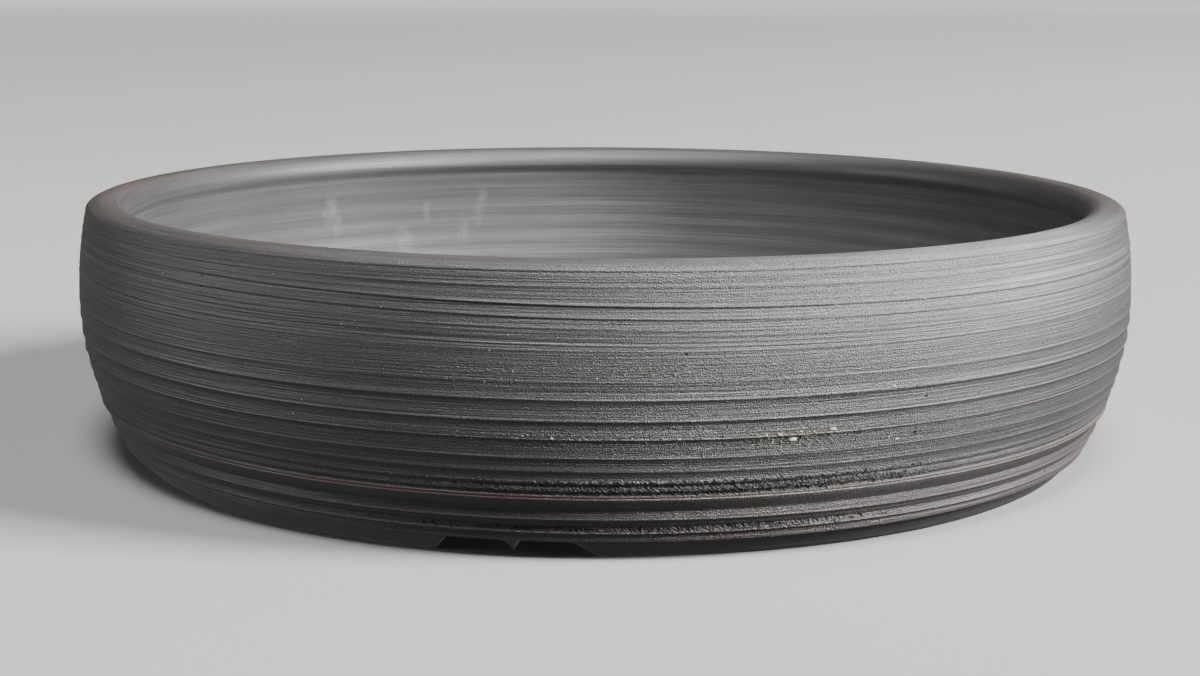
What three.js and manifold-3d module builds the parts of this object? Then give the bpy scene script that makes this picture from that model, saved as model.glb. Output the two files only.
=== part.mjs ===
// Round bonsai pot: a shallow wheel-turned stoneware bowl on three luted feet, with the plastic
// mesh screens over its drainage holes and the bent wire clips that hold them down.
// Millimetres, +Z up. The origin is on the pot's axis at the level it stands on, and -Y is the front.

import * as THREE from "three";
import { mergeVertices } from "three/addons/utils/BufferGeometryUtils.js";
import Module from "manifold-3d";

const wasm = await Module();
wasm.setup();

// Wall of the bowl
const potHeight = 70.8;
const bellyRadius = 150;
const bellyHeight = 45;
const shoulderInset = 3;
const baseInset = 10.8;
const wallThickness = 9.5;
const floorThickness = 9;
const floorFilletRadius = 10;

// Rolled lip
const lipWidth = 11.5;
const lipDepth = 7.4;
const lipOuterRound = 2.6;
const lipInnerRound = 3.4;
const lipUndercutHeight = 3.2;

// Feet, cut from a ring that is luted to the underside
const footCount = 3;
const footHeight = 4.5;
const footWidth = 15;
const footSetBack = 0.9;
const footGroundInset = 2.6;
const footEdgeRound = 1.4;
const firstNotchAngle = -99;

// Outline of a notch between two feet: two arches that meet in a hanging point
const notchWidth = 37.5;
const footEndLength = 7.2;
const cuspDrop = 2.6;
const cuspOffset = 1.3;
const cuspLeftLength = 7.5;
const cuspRightLength = 4;

// Holes in the floor
const drainCount = 3;
const drainRadius = 14;
const drainCircleRadius = 62;
const tieHoleRadius = 2.5;
const tieCircleRadius = 100;

// Mesh screens
const screenGaps = 7;
const screenPitch = 5.4;
const screenBar = 1.2;
const screenThickness = 1;

// Wire clips
const wireRadius = 0.8;
const wireBendRadius = 2.2;
const clipLoopRadius = 4.2;
const clipFootLength = 8;
const clipLegGapCount = 2;
const wireClearance = 0.3;

// Fineness of the round shapes
const aroundSteps = 72;
const holeSteps = 20;
const arcSteps = 4;
const wireSides = 6;
const wireSteps = 64;

// How the turning tool left the wall, from the feet up. Each place is a share of the turned wall
// above the feet, and stands this far proud of the wall's smooth curve, or is cut in below zero.
const turnedWall = [
  { mark: "overhang above the feet", share: 0.012, proud: 0.4 },
  { mark: "thin groove", share: 0.036, proud: 0.1 },
  { mark: "base ridge", share: 0.043, proud: 0.2 },
  { mark: "groove under the bead", share: 0.066, proud: -0.35 },
  { mark: "bead", share: 0.097, proud: 0.25 },
  { mark: "cove", share: 0.13, proud: -0.5 },
  { mark: "edge over the cove", share: 0.17, proud: 0.4 },
  { mark: "torn groove", share: 0.195, proud: -0.1 },
  { mark: "torn ridge", share: 0.211, proud: 0.15 },
  { mark: "upper torn groove", share: 0.232, proud: -0.15 },
  { mark: "upper torn ridge", share: 0.243, proud: 0.05 },
  { mark: "low groove", share: 0.255, proud: -0.1 },
  { mark: "low edge", share: 0.287, proud: 0.12 },
  { mark: "hollow over the low edge", share: 0.306, proud: -0.08 },
  { mark: "low band", share: 0.336, proud: 0.12 },
  { mark: "hollow over the low band", share: 0.365, proud: -0.06 },
  { mark: "low ridge", share: 0.404, proud: 0.16 },
  { mark: "hollow over the low ridge", share: 0.437, proud: -0.1 },
  { mark: "middle ridge", share: 0.471, proud: 0.18 },
  { mark: "hollow over the middle ridge", share: 0.507, proud: -0.1 },
  { mark: "high ridge", share: 0.541, proud: 0.16 },
  { mark: "hollow over the high ridge", share: 0.576, proud: -0.08 },
  { mark: "belly edge", share: 0.605, proud: 0.08 },
  { mark: "plain belly", share: 0.67, proud: -0.03 },
  { mark: "paired line", share: 0.73, proud: 0.05 },
  { mark: "hollow over the paired line", share: 0.75, proud: -0.04 },
  { mark: "shoulder line", share: 0.8, proud: -0.06 },
  { mark: "shoulder band", share: 0.817, proud: 0.05 },
  { mark: "groove under the step", share: 0.843, proud: -0.08 },
  { mark: "shoulder step", share: 0.861, proud: 0.12 },
  { mark: "hollow over the step", share: 0.895, proud: -0.06 },
  { mark: "neck line", share: 0.935, proud: -0.08 },
];

// Places worked out from the sizes above
const floorTop = footHeight + floorThickness;
const lipOuterRadius = bellyCurve(potHeight - lipOuterRound);
const lipInnerRadius = lipOuterRadius - lipWidth;
const baseRadius = bellyCurve(footHeight);
const footOuterRadius = baseRadius - footSetBack;
const screenSide = screenGaps * screenPitch + screenBar;
const clipWireHeight = floorTop + screenThickness + wireClearance + wireRadius;
const clipFootPlane = footHeight - wireClearance - wireRadius;

// Smooth outer curve of the wall, before the tool leaves its lines
function bellyCurve(height) {
  if (height > bellyHeight) {
    const rise = (height - bellyHeight) / (potHeight - bellyHeight);
    return bellyRadius - shoulderInset * rise ** 2;
  }
  const fall = (bellyHeight - height) / (bellyHeight - footHeight);
  return bellyRadius - baseInset * fall ** 2;
}

// Points of an arc in the profile plane, angles in degrees from the outward direction
function arc(radius, height, size, fromAngle, toAngle, steps = arcSteps) {
  return Array.from({ length: steps + 1 }, (_, i) => {
    const angle = THREE.MathUtils.degToRad(fromAngle + ((toAngle - fromAngle) * i) / steps);
    return new THREE.Vector2(radius + size * Math.cos(angle), height + size * Math.sin(angle));
  });
}

function outerWallPoints() {
  return turnedWall.map(({ share, proud }) => {
    const height = footHeight + share * (potHeight - lipOuterRound - footHeight);
    return new THREE.Vector2(bellyCurve(height) + proud, height);
  });
}

function innerWallPoints() {
  const bottom = floorTop + floorFilletRadius;
  const top = potHeight - lipDepth - lipUndercutHeight;
  const steps = 6;
  return Array.from({ length: steps + 1 }, (_, i) => {
    const height = top + ((bottom - top) * i) / steps;
    return new THREE.Vector2(bellyCurve(height) - wallThickness, height);
  });
}

function bodyProfile() {
  const filletHeight = floorTop + floorFilletRadius;
  const filletRadius = bellyCurve(filletHeight) - wallThickness - floorFilletRadius;
  const outerCorner = [lipOuterRadius - lipOuterRound, potHeight - lipOuterRound, lipOuterRound];
  const innerCorner = [lipInnerRadius + lipInnerRound, potHeight - lipInnerRound, lipInnerRound];
  return [
    new THREE.Vector2(0, footHeight),
    new THREE.Vector2(footOuterRadius, footHeight),
    ...outerWallPoints(),
    ...arc(...outerCorner, 0, 90),
    ...arc(...innerCorner, 90, 180),
    new THREE.Vector2(lipInnerRadius, potHeight - lipDepth),
    ...innerWallPoints(),
    ...arc(filletRadius, filletHeight, floorFilletRadius, 0, -90).slice(1),
    new THREE.Vector2(0, floorTop),
  ];
}

// Section of the ring that the feet are cut from. It can reach up into the bowl, to fuse with it.
function ringProfile(top) {
  const groundRadius = footOuterRadius - footGroundInset;
  const innerRadius = footOuterRadius - footWidth;
  return [
    new THREE.Vector2(innerRadius, top),
    new THREE.Vector2(innerRadius, footEdgeRound),
    new THREE.Vector2(innerRadius + footEdgeRound, 0),
    ...arc(groundRadius - footEdgeRound, footEdgeRound, footEdgeRound, -90, -15, 3),
    new THREE.Vector2(footOuterRadius, footHeight),
    ...(top > footHeight ? [new THREE.Vector2(footOuterRadius, top)] : []),
    new THREE.Vector2(innerRadius, top),
  ];
}

// Turns a closed geometry into a solid that can be cut and joined
function toSolid(geometry) {
  const bare = geometry.clone();
  bare.deleteAttribute("normal");
  bare.deleteAttribute("uv");
  const merged = mergeVertices(bare, 1e-4);
  const corners = merged.index.array;
  const kept = [];
  for (let i = 0; i < corners.length; i += 3) {
    const [a, b, c] = corners.slice(i, i + 3);
    if (a !== b && b !== c && c !== a) kept.push(a, b, c);
  }
  const triVerts = new Uint32Array(kept);
  const vertProperties = new Float32Array(merged.attributes.position.array);
  return new wasm.Manifold(new wasm.Mesh({ numProp: 3, vertProperties, triVerts }));
}

function toGeometry(solid) {
  const mesh = solid.getMesh();
  const geometry = new THREE.BufferGeometry();
  geometry.setAttribute("position", new THREE.BufferAttribute(mesh.vertProperties, 3));
  geometry.setIndex(new THREE.BufferAttribute(mesh.triVerts, 1));
  return geometry;
}

// Turns a profile about the pot's axis
function turned(profile) {
  return new THREE.LatheGeometry(profile, aroundSteps).rotateX(Math.PI / 2);
}

function uprightCylinder(radius, bottom, top, angle, distance) {
  const geometry = new THREE.CylinderGeometry(radius, radius, top - bottom, holeSteps);
  geometry.rotateX(Math.PI / 2);
  const [x, y] = onCircle(angle, distance);
  return geometry.translate(x, y, (top + bottom) / 2);
}

function onCircle(angle, distance) {
  const turn = THREE.MathUtils.degToRad(angle);
  return [distance * Math.cos(turn), distance * Math.sin(turn)];
}

function notchAngle(index) {
  return firstNotchAngle + (index * 360) / footCount;
}

// Drains lie behind the feet and tie-wire holes behind the notches, where the wires come out
function drainAngle(index) {
  return firstNotchAngle + ((index + 0.5) * 360) / drainCount;
}

// Pushes an outline, drawn across and up, outwards through the ring at the given angle
function throughRing(outline, angle) {
  const reach = footWidth * 3;
  const geometry = new THREE.ExtrudeGeometry(outline, {
    depth: reach,
    bevelEnabled: false,
    curveSegments: arcSteps,
  });
  geometry.rotateX(Math.PI / 2);
  geometry.translate(0, reach / 2 - footOuterRadius, 0);
  return geometry.rotateZ(THREE.MathUtils.degToRad(angle + 90));
}

// The whole notch, from one foot's end to the next
function notchOutline() {
  const half = notchWidth / 2;
  const above = footHeight * 2;
  const below = -footHeight;
  const outline = new THREE.Shape();
  outline.moveTo(-half, below);
  outline.lineTo(-half, 0);
  outline.bezierCurveTo(
    -half + footEndLength * 0.5, footHeight * 0.15,
    -half + footEndLength * 0.4, footHeight * 0.95,
    -half + footEndLength, footHeight,
  );
  outline.lineTo(-half + footEndLength, above);
  outline.lineTo(half - footEndLength, above);
  outline.lineTo(half - footEndLength, footHeight);
  outline.bezierCurveTo(
    half - footEndLength * 0.4, footHeight * 0.95,
    half - footEndLength * 0.5, footHeight * 0.15,
    half, 0,
  );
  outline.lineTo(half, below);
  return outline;
}

// The point that hangs between the two arches, with a root that fuses into the bowl
function cuspOutline(top) {
  const tip = footHeight - cuspDrop;
  const left = cuspOffset - cuspLeftLength;
  const right = cuspOffset + cuspRightLength;
  const outline = new THREE.Shape();
  outline.moveTo(left, top);
  outline.lineTo(left, footHeight);
  outline.quadraticCurveTo(cuspOffset - cuspLeftLength * 0.4, footHeight, cuspOffset, tip);
  outline.quadraticCurveTo(cuspOffset + cuspRightLength * 0.4, footHeight, right, footHeight);
  outline.lineTo(right, top);
  return outline;
}

function potBody() {
  let solid = toSolid(turned(bodyProfile()));
  const under = footHeight - floorThickness;
  const over = floorTop + floorThickness;
  for (let i = 0; i < drainCount; i += 1) {
    const drain = uprightCylinder(drainRadius, under, over, drainAngle(i), drainCircleRadius);
    solid = solid.subtract(toSolid(drain));
  }
  const root = footHeight + floorThickness / 4;
  const ring = toSolid(turned(ringProfile(root)));
  for (let i = 0; i < footCount; i += 1) {
    const hole = uprightCylinder(tieHoleRadius, under, over, notchAngle(i), tieCircleRadius);
    solid = solid.subtract(toSolid(hole));
    solid = solid.add(ring.intersect(toSolid(throughRing(cuspOutline(root), notchAngle(i)))));
  }
  return toGeometry(solid);
}

// The foot between one notch and the next
function foot(index) {
  const reach = bellyRadius * 3;
  const sector = new THREE.Shape([new THREE.Vector2(0, 0)]);
  const corners = 4;
  for (let i = 0; i <= corners; i += 1) {
    const [x, y] = onCircle(notchAngle(index + i / corners), reach);
    sector.lineTo(x, y);
  }
  const wedge = new THREE.ExtrudeGeometry(sector, { depth: footHeight * 3, bevelEnabled: false });
  wedge.translate(0, 0, -footHeight);
  let solid = toSolid(turned(ringProfile(footHeight))).intersect(toSolid(wedge));
  for (const side of [index, index + 1]) {
    solid = solid.subtract(toSolid(throughRing(notchOutline(), notchAngle(side))));
  }
  return toGeometry(solid);
}

// A square of plastic net: a sheet with rows of square gaps
function drainScreen() {
  const opening = screenPitch - screenBar;
  let net = toSolid(new THREE.BoxGeometry(screenSide, screenSide, screenThickness));
  for (let row = 0; row < screenGaps; row += 1) {
    for (let column = 0; column < screenGaps; column += 1) {
      const gap = new THREE.BoxGeometry(opening, opening, screenThickness * 3);
      const middle = (screenGaps - 1) / 2;
      gap.translate((column - middle) * screenPitch, (row - middle) * screenPitch, 0);
      net = net.subtract(toSolid(gap));
    }
  }
  return toGeometry(net).translate(0, 0, screenThickness / 2);
}

// Half of a clip's path, from the middle of its bridge to the end of one leg, seen from its drain
function clipHalfPath() {
  const legPlace = clipLegGapCount * screenPitch;
  const loopPlace = legPlace - wireBendRadius;
  const loopRise = 2 * wireRadius + wireClearance;
  const points = [new THREE.Vector3(0, 0, clipWireHeight + loopRise)];
  const turns = 16;
  for (let i = 0; i <= turns; i += 1) {
    const share = i / turns;
    const angle = 2 * Math.PI * share;
    points.push(new THREE.Vector3(
      loopPlace + clipLoopRadius * Math.sin(angle),
      clipLoopRadius * (1 - Math.cos(angle)),
      clipWireHeight + loopRise * (1 - THREE.MathUtils.smoothstep(share, 0, 1)),
    ));
  }
  for (const degrees of [30, 60, 90]) {
    const angle = THREE.MathUtils.degToRad(degrees);
    points.push(new THREE.Vector3(
      loopPlace + wireBendRadius * Math.sin(angle),
      0,
      clipWireHeight - wireBendRadius * (1 - Math.cos(angle)),
    ));
  }
  for (const degrees of [0, 30, 60, 90]) {
    const angle = THREE.MathUtils.degToRad(degrees);
    points.push(new THREE.Vector3(
      legPlace + wireBendRadius * (1 - Math.cos(angle)),
      0,
      clipFootPlane + wireBendRadius * (1 - Math.sin(angle)),
    ));
  }
  points.push(new THREE.Vector3(legPlace + wireBendRadius + clipFootLength, 0, clipFootPlane));
  return points;
}

// Least distance between parts of the wire that lie apart along it, less its diameter
function clipLeastGap(path) {
  const points = path.getSpacedPoints(wireSteps * 4);
  const apart = Math.ceil((wireRadius * 4 * points.length) / path.getLength());
  let least = Infinity;
  for (let i = 0; i < points.length; i += 1) {
    for (let j = i + apart; j < points.length; j += 1) {
      least = Math.min(least, points[i].distanceTo(points[j]));
    }
  }
  return least - 2 * wireRadius;
}

function screenClip() {
  const half = clipHalfPath();
  const other = half.slice(1).reverse().map((point) => new THREE.Vector3(-point.x, -point.y, point.z));
  const path = new THREE.CatmullRomCurve3([...other, ...half]);
  console.log(`least gap of a clip's wire to itself ${clipLeastGap(path).toFixed(2)} mm`);
  const section = new THREE.Shape(Array.from({ length: wireSides }, (_, i) => {
    const angle = (2 * Math.PI * i) / wireSides;
    return new THREE.Vector2(wireRadius * Math.cos(angle), wireRadius * Math.sin(angle));
  }));
  return new THREE.ExtrudeGeometry(section, { steps: wireSteps, extrudePath: path });
}

const stoneware = new THREE.MeshStandardMaterial({ color: 0x4a4a4b, roughness: 0.85, metalness: 0 });
const meshPlastic = new THREE.MeshStandardMaterial({ color: 0x1d1f20, roughness: 0.55, metalness: 0 });
const aluminiumWire = new THREE.MeshStandardMaterial({ color: 0xa9abad, roughness: 0.35, metalness: 1 });

const pot = new THREE.Group();

function addPiece(name, geometry, material) {
  const piece = new THREE.Mesh(geometry, material.clone());
  piece.name = name;
  pot.add(piece);
  return piece;
}

addPiece("pot_body", potBody(), stoneware);

const footNames = ["foot_right", "foot_back", "foot_left"];
for (let i = 0; i < footCount; i += 1) {
  addPiece(footNames[i] ?? `foot_${i + 1}`, foot(i), stoneware);
}

// Each screen is turned to face the pot's axis, and its clip's legs stand in two of its gaps
const screenGeometry = drainScreen();
const clipGeometry = screenClip();
for (let i = 0; i < drainCount; i += 1) {
  const [x, y] = onCircle(drainAngle(i), drainCircleRadius);
  const turn = THREE.MathUtils.degToRad(drainAngle(i));
  const screen = addPiece(`drain_screen_${i + 1}`, screenGeometry, meshPlastic);
  screen.position.set(x, y, floorTop);
  screen.rotation.z = turn;
  const clip = addPiece(`screen_clip_${i + 1}`, clipGeometry, aluminiumWire);
  clip.position.set(x, y, 0);
  clip.rotation.z = turn + Math.PI / 2;
}

export default pot;
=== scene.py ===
# Round bonsai pot of dark unglazed stoneware: a bowl turned on the wheel and trimmed with a loop
# tool, three feet luted under it, and the plastic net and bent wire that keep the soil in.
# Metres, +Z up. The origin is on the pot's axis at the level it stands on, and -Y is the front.

import math
import random

import bpy
import numpy as np
from mathutils import Matrix, Vector


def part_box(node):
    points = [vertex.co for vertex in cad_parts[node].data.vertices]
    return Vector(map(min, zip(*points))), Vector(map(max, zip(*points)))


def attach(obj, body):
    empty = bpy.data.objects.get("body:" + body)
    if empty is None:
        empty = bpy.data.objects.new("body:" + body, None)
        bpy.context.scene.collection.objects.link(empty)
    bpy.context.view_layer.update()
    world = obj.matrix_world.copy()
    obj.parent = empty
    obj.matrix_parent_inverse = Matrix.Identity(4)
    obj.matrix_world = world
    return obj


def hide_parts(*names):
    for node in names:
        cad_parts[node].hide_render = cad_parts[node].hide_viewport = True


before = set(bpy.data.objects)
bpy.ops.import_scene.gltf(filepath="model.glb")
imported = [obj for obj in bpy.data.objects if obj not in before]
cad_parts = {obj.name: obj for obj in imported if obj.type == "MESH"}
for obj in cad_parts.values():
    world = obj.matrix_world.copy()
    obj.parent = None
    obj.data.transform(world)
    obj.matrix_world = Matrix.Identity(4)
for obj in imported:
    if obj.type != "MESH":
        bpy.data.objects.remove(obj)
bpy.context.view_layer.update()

MM = 0.001

# Levels that the frame gives, in millimetres
FOOT_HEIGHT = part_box("foot_back")[1].z / MM
POT_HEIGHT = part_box("pot_body")[1].z / MM
SCREEN_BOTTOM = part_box("drain_screen_1")[0].z / MM
SCREEN_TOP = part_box("drain_screen_1")[1].z / MM

# Wall of the bowl, in millimetres
BELLY_RADIUS = 150
BELLY_HEIGHT = 45
SHOULDER_INSET = 3
BASE_INSET = 10.8
WALL_THICKNESS = 9.5
FLOOR_TOP = SCREEN_BOTTOM
FLOOR_FILLET = 10
RING_PITCH = 9
RING_DEPTH = 0.3

# Rolled lip: a soft roll that hangs a little way over the inside
LIP_WIDTH = 11.5
LIP_SHOULDER_WIDTH = 5.6
LIP_SHOULDER_HEIGHT = 2.3
LIP_DEPTH = 5.2
LIP_UNDERCUT = 3.8
TOP_THICKENING = 1.3
THICKENS_FROM = 38
THICKENS_OVER = 24

# Feet and the notches between them
FOOT_COUNT = 3
FOOT_WIDTH = 15
FOOT_SET_BACK = 0.9
FOOT_GROUND_INSET = 2.6
FOOT_EDGE_ROUND = 1.4
FIRST_NOTCH = -99
NOTCH_LEFT = 19.4
NOTCH_RIGHT = 20.8
LEFT_SLOPE = 6.2
RIGHT_SLOPE = 10.5
CUSP_DROP = 3.2
CUSP_OFFSET = 0.4
CUSP_LEFT_LENGTH = 9
CUSP_RIGHT_LENGTH = 5
CUSP_ROOT = 2
FACE_WORN = 0.12
FOOT_VOXEL = 0.55

# Holes in the floor
DRAIN_RADIUS = 14
DRAIN_CIRCLE = 62
TIE_HOLE_RADIUS = 2.5
TIE_CIRCLE = 100
HOLE_FLARE = 0.7

# Screens and their wire clips
SCREEN_GAPS = 7
SCREEN_PITCH = 5.4
SCREEN_BAR = 1.2
STRAND_DEPTH = 0.84
NET_VOXEL = 0.34
WIRE_RADIUS = 0.8
WIRE_BEND = 2.2
CLIP_LOOP = 4.2
CLIP_FOOT = 8
CLIP_LEG_GAPS = 2
WIRE_CLEARANCE = 0.3

# Fineness of the bowl: sections around it, and rows up its wall in millimetres
AROUND = 168
WALL_ROW = 0.18
INSIDE_ROW = 0.9
FLOOR_ROW = 3
UNDERSIDE_ROW = 9

# A point of the mesh this near to a smooth surface lies on it, and points this near are one
NEAR = 0.05
WELD = 0.005

# Where the trimming tool left the wall, as height above the ground and how far the clay stands
# proud of the smooth wall there, in millimetres. A ridge swells out from above and steps in below.
TURNED_WALL = [
    (4.15, -0.9), (4.45, -0.2), (4.85, 0.42), (5.4, 0.4), (6.3, 0.04), (6.7, -0.04), (6.9, 0.06),
    (7.15, 0.36), (8, -0.14), (8.75, -0.56), (9.2, -0.34), (9.4, -0.2), (9.7, -0.22), (10, -0.16),
    (10.45, 0.22), (10.85, 0.36), (11.9, -0.08), (12.95, -0.56), (13.4, -0.42), (14.3, -0.08),
    (15.2, 0.24), (16.1, 0.5), (16.4, 0.42), (16.6, 0.36), (16.8, 0.4), (17.1, 0.3), (17.35, 0.12),
    (17.6, 0), (18.1, 0.04), (18.45, 0.2), (19, 0.1), (19.6, -0.12), (19.85, -0.12), (20.2, 0.06),
    (20.6, 0.08), (21.3, -0.01), (22.25, -0.092), (22.95, 0.02), (23.35, 0.145), (24.55, -0.059),
    (25.45, -0.033), (25.85, 0.046), (26.15, 0.013), (26.45, 0.132), (28.05, -0.033), (30.15, -0.112),
    (30.65, -0.02), (31.05, 0.178), (31.45, 0.112), (31.65, 0.145), (33.15, -0.099), (34.55, -0.112),
    (34.95, 0.046), (35.35, 0.211), (35.95, 0.132), (36.25, 0.158), (37.75, -0.099), (39.35, -0.099),
    (39.85, 0.059), (40.35, 0.191), (42.15, -0.066), (43.75, -0.033), (44.25, 0.092), (45.35, 0.026),
    (49.6, -0.03), (51.2, -0.01), (51.5, 0.05), (51.9, -0.02), (52.2, 0.02), (52.5, -0.05),
    (52.9, 0.04), (53.3, -0.05), (54, -0.02), (54.6, 0.02), (55.2, -0.04), (55.6, 0.05), (56.2, -0.02),
    (56.6, 0.03), (57.8, -0.04), (58.6, -0.06), (59.1, 0.08), (60.4, -0.05), (61.5, -0.06),
    (61.9, 0.14), (62.8, -0.02), (63.3, 0.02), (64.3, -0.06), (65, -0.07), (65.5, 0.03), (66.3, -0.05),
    (66.6, 0.04), (67.6, 0), (68.3, -0.05), (68.6, 0.06), (69.4, 0), (71, 0),
]

# Short thin lines that the tool made on its way: height, depth, and the angles from the front
# where it touched and lifted
SHORT_LINES = [
    (68.5, -0.12, -75, 62), (66.8, -0.06, -20, 48), (65.9, -0.06, 3, 24), (64.6, -0.05, -45, -12),
    (63.9, -0.05, 2, 75), (57.2, -0.05, 8, 70), (54.9, -0.06, -64, -18), (53.7, -0.05, -50, 4),
    (50.7, -0.03, 10, 66), (49, -0.04, 22, 72), (48.2, -0.03, 30, 64), (47.3, -0.03, -48, 6),
    (42.1, -0.04, -12, 40), (38.7, -0.05, 14, 55), (30.2, -0.05, 20, 50), (29.5, -0.04, -60, -20),
    (25.4, -0.05, -30, 35), (22.4, -0.06, -66, -24), (61, -0.06, 5, 18), (55.9, 0.05, 12, 58),
    (55.1, 0.05, 24, 44), (56.4, 0.05, 20, 55),
]
SHORT_LINE_WIDTH = 0.22
LINE_FADES_OVER = 4
MORE_SHORT_LINES = 120

# Ridges whose edge came off the tool sharp, as the height of the edge and how far it stands out
SHARP_EDGES = [
    (4.85, 0.05), (7.05, 0.06), (10.75, 0.08), (16.05, 0.08), (16.85, 0.07), (18.3, 0.06), (20.2, 0.06),
    (23.05, 0.07), (26.4, 0.06), (31, 0.08), (35.3, 0.1), (40.2, 0.07), (44.3, 0.05), (51.4, 0.05),
    (52.9, 0.05), (56.6, 0.04), (59, 0.07), (61.8, 0.1), (65.4, 0.05), (68.5, 0.05),
]
EDGE_WIDTH = 0.24
# An edge standing out this far gets the full painted highlight on its crest
FULL_EDGE = 0.08

# Bands where the tool scraped the clay and coarse grit shows: height, width and how much
SANDY_BANDS = [
    (68.5, 2, 0.4), (62, 2.5, 0.1), (57, 1.6, 0.1), (48, 4, 0.1), (33, 1, 0.3), (30, 2.2, 0.55),
    (25, 1.2, 0.3), (19.5, 1.5, 0.4), (8.3, 1, 0.5),
]

# Height of the bands where the tool tore the clay, their width, and their share of the curls
TORN_BANDS = [(20.6, 0.35, 2), (19.0, 0.8, 6), (17.7, 0.4, 1), (8.0, 0.9, 3)]

# How torn the clay is where its curls begin to stand up
BURRS_FROM = 0.22

# Heights between which grog grains lie all round, and the same for pale grains and iron specks
WALL_LOW, WALL_HIGH = 5.5, 69
SPECK_LOW, SPECK_HIGH = 8, 68

# How many of them are strewn all round, and how many burrs stand in the torn bands
GROG_COUNT, PALE_COUNT, SPECK_COUNT, BURR_COUNT = 1100, 90, 70, 1450

# Edges where the fire left a thin red-brown flash
FLASHED_EDGES = [17.0, 16.2, 12.3, 10.8, 7.6, 7.0, 5.3]
FLASH_WIDTH = 0.16

# Where the wall's look changes on the way round, in degrees from the front: the middle of the
# sandy and of the torn stretch, of the upper wall's painted highlight, and of the two that
# the tool pressed more lightly, and the middle of the pale film inside, which is partly
# painted light on the far inside wall
SANDY_ANGLE = 20
TORN_ANGLE = 18
HIGHLIGHT_ANGLE = 42
UPPER_LIGHT_ANGLE = -78
LOWER_LIGHT_ANGLE = -55
FILM_AND_LIGHT_ANGLE = 170

# Waves that the potter's fingers left inside, as height and how far they stand into the bowl
FINGER_WAVES = [
    (23.5, 0), (26.5, 0.11), (29.4, -0.08), (31.9, 0.11), (34.6, -0.09), (37.3, 0.11), (40.3, -0.09),
    (43.2, 0.12), (46, -0.08), (48.7, 0.09), (52, -0.15), (56, 0.11), (58, -0.04), (60.2, 0.08),
]

# Patches of limescale inside: angle from the back, to the right, height, and size
LIMESCALE = [
    (-18.6, 53.5, 2.2), (-18.9, 48.5, 2.4), (-21.3, 41.5, 2.6), (-30.5, 38.6, 3.2), (-42.7, 51.5, 3.4),
    (-41.6, 47.5, 2.6), (-27, 49, 1.6), (62, 44, 3), (150, 38, 4), (175, 50, 3),
]

# Middle of the faint pale streak where water ran down outside, as angle from the front and height
STREAK_ANGLE = 40.5
STREAK_HEIGHT = 61

# Where coarse grains lie thick on the wall: angle from the front, height, width, height of the
# cluster, and how many
GROG_CLUSTERS = [
    (16, 30.8, 20, 2.4, 260), (-3, 31, 44, 1.6, 110), (-6, 45.5, 40, 3, 70), (8, 46, 30, 3, 60),
    (20, 40.5, 30, 1.2, 40), (28, 30, 26, 2, 30), (-30, 55, 30, 8, 40), (60, 50, 60, 8, 60),
    (100, 30, 60, 3, 90), (140, 44, 70, 4, 90), (-165, 31, 60, 2, 90), (-120, 52, 60, 6, 80),
    (-75, 31, 50, 2, 60),
]

# The same for pale grains, small ones
PALE_CLUSTERS = [
    (15.5, 30.7, 12, 1.8, 70), (19.5, 32.2, 10, 1.2, 35), (-3, 31.2, 40, 1.2, 25),
    (6, 45.8, 36, 2.4, 22), (23, 41, 26, 1.6, 14), (120, 32, 60, 2, 40), (-140, 44, 70, 3, 40),
]

# Pale grains that show: angle from the front, height, size, and turn
PALE_GRAINS = [
    (16.7, 30.1, 1.5, -8), (20.4, 32, 1.25, 5), (15.4, 31.5, 0.9, 0), (14.2, 31.4, 0.6, 0),
    (20.3, 30.8, 0.6, 10), (27.2, 27.9, 0.75, -6), (26.3, 28.6, 0.5, 20), (26.2, 41, 0.85, -8),
    (20.8, 48.7, 0.6, 0), (23.7, 43.8, 0.4, 0), (18.3, 45, 0.35, 0), (13, 41.2, 0.35, 0),
    (24.4, 41.6, 0.35, 0), (17, 43.1, 0.35, 0), (20.6, 43.4, 0.3, 0), (29.5, 61.8, 0.5, -10),
    (-4.5, 31.4, 0.55, 0), (5, 31.6, 0.5, 30), (6.5, 31.2, 0.55, 0), (-55, 65, 0.6, 80),
    (-7, 31.8, 0.35, 0), (-46, 60, 0.35, 0),
]

# Iron specks that show: angle from the front, height, and size
IRON_SPECKS = [
    (-40, 61.3, 0.9), (-40, 58.7, 0.7), (7, 51, 1), (26, 67, 0.7), (29.9, 37.8, 1.1), (29.2, 29.2, 1.4),
    (-30, 50.5, 0.8), (-43, 29.3, 0.8), (4.8, 46.3, 0.6), (-5.5, 48.2, 0.5), (15.6, 29.2, 0.8),
    (13.4, 30.2, 0.6), (14.4, 29.6, 0.5), (12.6, 29.3, 0.5), (17.4, 31, 0.5),
]


def belly_curve(height):
    """Radius of the smooth outer wall at a height, both in millimetres."""
    rise = np.maximum(height - BELLY_HEIGHT, 0) / (POT_HEIGHT - BELLY_HEIGHT)
    fall = np.maximum(BELLY_HEIGHT - height, 0) / (BELLY_HEIGHT - FOOT_HEIGHT)
    return BELLY_RADIUS - SHOULDER_INSET * rise ** 2 - BASE_INSET * fall ** 2


def inner_wall(height):
    """Radius of the smooth inner wall at a height. The wall thickens a little towards the lip."""
    share = np.clip((height - THICKENS_FROM) / THICKENS_OVER, 0, 1)
    return belly_curve(height) - WALL_THICKNESS - TOP_THICKENING * share ** 2


WALL_TOP = POT_HEIGHT - LIP_SHOULDER_HEIGHT
LIP_OUTER_RADIUS = belly_curve(WALL_TOP)
LIP_INNER_RADIUS = LIP_OUTER_RADIUS - LIP_WIDTH
FOOT_OUTER_RADIUS = belly_curve(FOOT_HEIGHT) - FOOT_SET_BACK
INNER_TOP = POT_HEIGHT - LIP_DEPTH - LIP_UNDERCUT


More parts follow.
